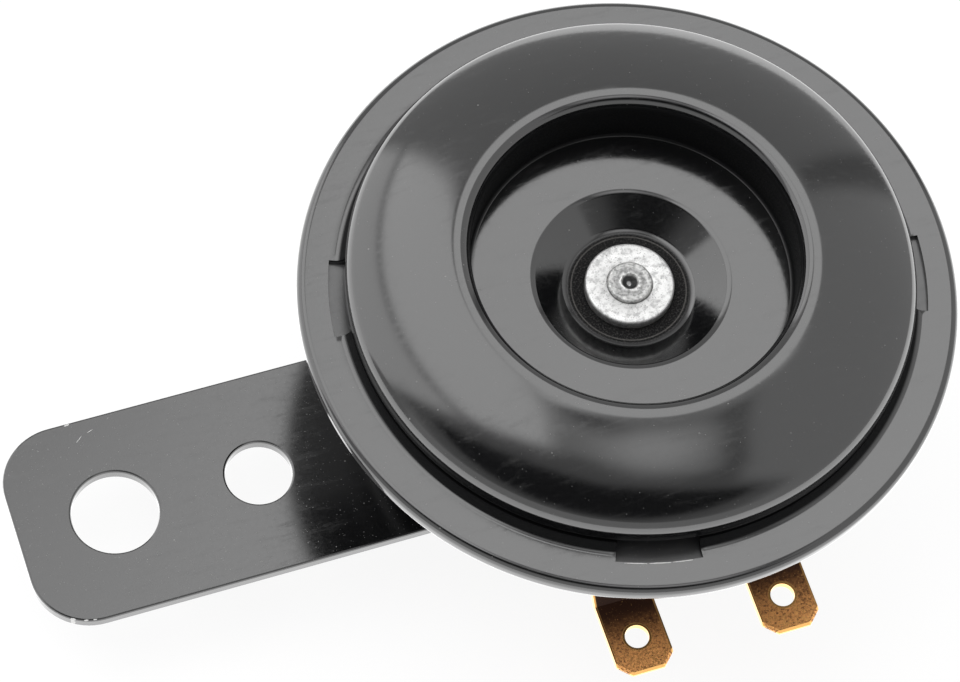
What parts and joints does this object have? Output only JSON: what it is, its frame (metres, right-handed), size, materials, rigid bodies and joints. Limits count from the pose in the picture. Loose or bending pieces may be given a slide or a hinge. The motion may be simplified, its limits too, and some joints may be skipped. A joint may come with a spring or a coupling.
{
  "type": "car horn",
  "caption": "Round black electric disc horn with a domed, recessed tone disc, push-on terminals and a flat steel mounting bracket.",
  "frame": {"origin": "centre of the bracket's fixing hole, on the bracket's rear face", "axes": "+Z along the fixing hole and the horn's own axis, the way that the horn sounds; +X from the fixing hole to the horn; the terminals point along -Y"},
  "size_m": [0.1022, 0.0704, 0.0415],
  "materials": {
    "black_paint": "satin to semi-gloss black over pressed steel",
    "zinc_steel": "zinc plated, scuffed",
    "spring_steel": "cold rolled",
    "soft_iron": "turned",
    "terminal_brass": "tarnished brown with bright edges",
    "insulation": "phenolic paper",
    "gasket_fibre": "fibre",
    "bobbin_plastic": "moulded",
    "enamelled_copper": "enamelled copper wire",
    "contact_metal": "contact tungsten"
  },
  "bodies": {
    "root": {"mounting_bracket": "black_paint", "rear_housing": "black_paint", "front_ring": "black_paint", "plain_washer": "zinc_steel", "spring_washer": "zinc_steel", "rear_nut": "zinc_steel", "pole_core": "soft_iron", "diaphragm": "black_paint", "gasket": "gasket_fibre", "coil_bobbin": "bobbin_plastic", "coil_winding": "enamelled_copper", "lead_left": "enamelled_copper", "lead_right": "enamelled_copper", "lead_coil": "enamelled_copper", "terminal_left": "terminal_brass", "terminal_right": "terminal_brass", "tag_left": "terminal_brass", "tag_right": "terminal_brass", "outer_insulator": "insulation", "inner_insulator": "insulation", "terminal_rivets": "terminal_brass", "contact_block": "insulation", "fixed_contact_arm": "spring_steel", "contact_insulator": "insulation", "contact_leaf": "spring_steel", "contact_clamp": "zinc_steel", "contact_rivets": "zinc_steel", "fixed_contact": "contact_metal", "moving_contact": "contact_metal", "adjusting_screw": "zinc_steel"},
    "tone_assembly": {"tone_disc": "black_paint", "tone_washer": "zinc_steel", "tone_spacer": "zinc_steel", "armature": "soft_iron"}
  },
  "joints": [
    {"name": "tone_slide", "type": "slide", "parent": "root", "child": "tone_assembly", "axis": [0, 0, 1], "range_m": [-0.0003, 0.0003], "stiffness_N_per_m": 20000, "deforming": ["diaphragm"]}
  ]
}
